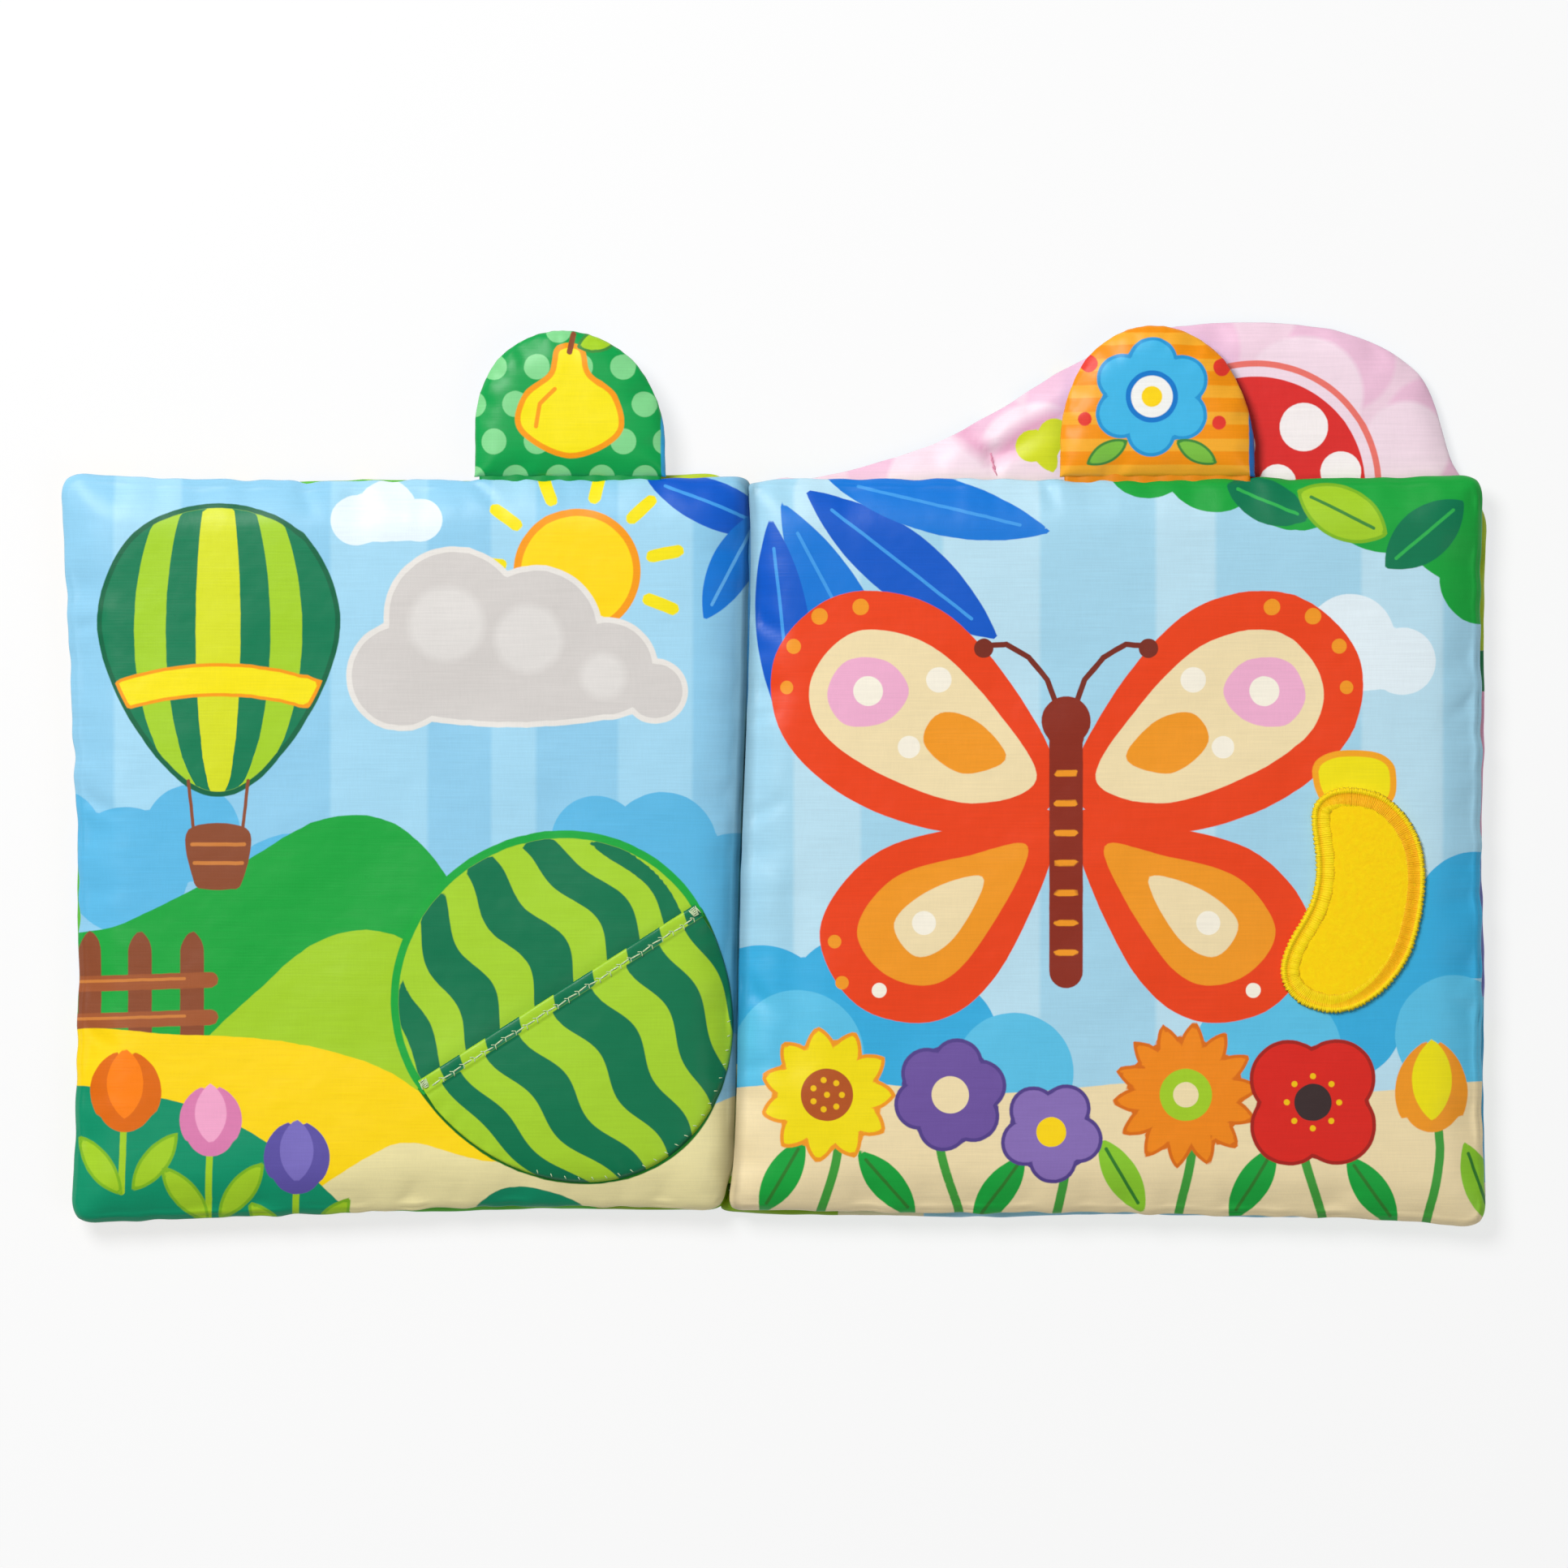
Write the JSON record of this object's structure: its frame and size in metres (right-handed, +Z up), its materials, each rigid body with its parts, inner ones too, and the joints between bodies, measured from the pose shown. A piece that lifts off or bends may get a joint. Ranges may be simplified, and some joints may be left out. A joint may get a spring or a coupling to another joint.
{
  "type": "crinkle cloth book",
  "caption": "Soft baby book lying open: padded crinkle leaves sewn at the spine, grab tabs, an arched back cover, a fruit pocket and a stitched-on patch.",
  "frame": {"origin": "on the surface the open book lies on, under the middle of the spine", "axes": "+X along the pages to the reader's right, +Y up the pages along the spine, +Z up out of the open pages"},
  "size_m": [0.3813, 0.2418, 0.0208],
  "materials": {
    "left_page_print": "printed polyester, satin sheen",
    "right_page_print": "printed polyester, satin sheen",
    "inner_back_print": "printed polyester, satin sheen",
    "front_cover_print": "printed polyester, satin sheen",
    "back_cover_print": "printed polyester, satin sheen",
    "outer_print": "printed polyester, satin sheen",
    "green_tab_print": "printed polyester, satin sheen",
    "orange_tab_print": "printed polyester, satin sheen",
    "tab_back_print": "printed polyester, satin sheen",
    "pocket_cloth": "printed polyester, two greens",
    "yellow_plush": "short felted pile",
    "satin_thread": "dense satin stitching",
    "pale_thread": "polyester sewing thread",
    "pink_thread": "polyester sewing thread",
    "crinkle_film": "thin crinkled film",
    "batting": "polyester wadding"
  },
  "bodies": {
    "back_cover": {"back_cover_face_cloth": "back_cover_print", "back_cover_back_cloth": "outer_print", "back_cover_crinkle_film": "crinkle_film", "back_cover_batting": "batting", "outer_spine_cloth": "outer_print", "inner_spine_cloth": "inner_back_print", "spine_seam_thread": "pale_thread", "cover_bar_tack": "pink_thread"},
    "front_cover": {"front_cover_face_cloth": "front_cover_print", "front_cover_back_cloth": "outer_print", "front_cover_crinkle_film": "crinkle_film", "front_cover_batting": "batting"},
    "left_page": {"left_page_face_cloth": "left_page_print", "left_page_back_cloth": "inner_back_print", "left_page_crinkle_film": "crinkle_film", "left_page_batting": "batting", "fruit_pocket": "pocket_cloth", "pocket_hem_thread": "pale_thread", "pocket_bar_tack_left": "pale_thread", "pocket_bar_tack_right": "pale_thread"},
    "right_page": {"right_page_face_cloth": "right_page_print", "right_page_back_cloth": "inner_back_print", "right_page_crinkle_film": "crinkle_film", "right_page_batting": "batting", "banana_patch": "yellow_plush", "banana_satin_border": "satin_thread"},
    "left_tab": {"left_tab_face_cloth": "green_tab_print", "left_tab_back_cloth": "tab_back_print", "left_tab_batting": "batting"},
    "right_tab": {"right_tab_face_cloth": "orange_tab_print", "right_tab_back_cloth": "tab_back_print", "right_tab_batting": "batting"}
  },
  "joints": [
    {"name": "book_close", "type": "hinge", "parent": "back_cover", "child": "front_cover", "pos_m": [0, 0, 0.01345], "axis": [0, -1, 0], "range_deg": [-164, 0]},
    {"name": "left_page_turn", "type": "hinge", "parent": "front_cover", "child": "left_page", "pos_m": [0, 0, 0.01345], "axis": [0, 1, 0], "range_deg": [0, 80]},
    {"name": "right_page_turn", "type": "hinge", "parent": "back_cover", "child": "right_page", "pos_m": [0, 0, 0.01345], "axis": [0, -1, 0], "range_deg": [0, 80]},
    {"name": "left_tab_fold", "type": "hinge", "parent": "left_page", "child": "left_tab", "pos_m": [-0.0469, 0.10015, 0.01115], "axis": [1, 0, 0], "range_deg": [0, 50], "stiffness_Nm_per_rad": 0.01},
    {"name": "right_tab_fold", "type": "hinge", "parent": "right_page", "child": "right_tab", "pos_m": [0.1106, 0.10015, 0.01115], "axis": [1, 0, 0], "range_deg": [0, 50], "stiffness_Nm_per_rad": 0.01}
  ]
}
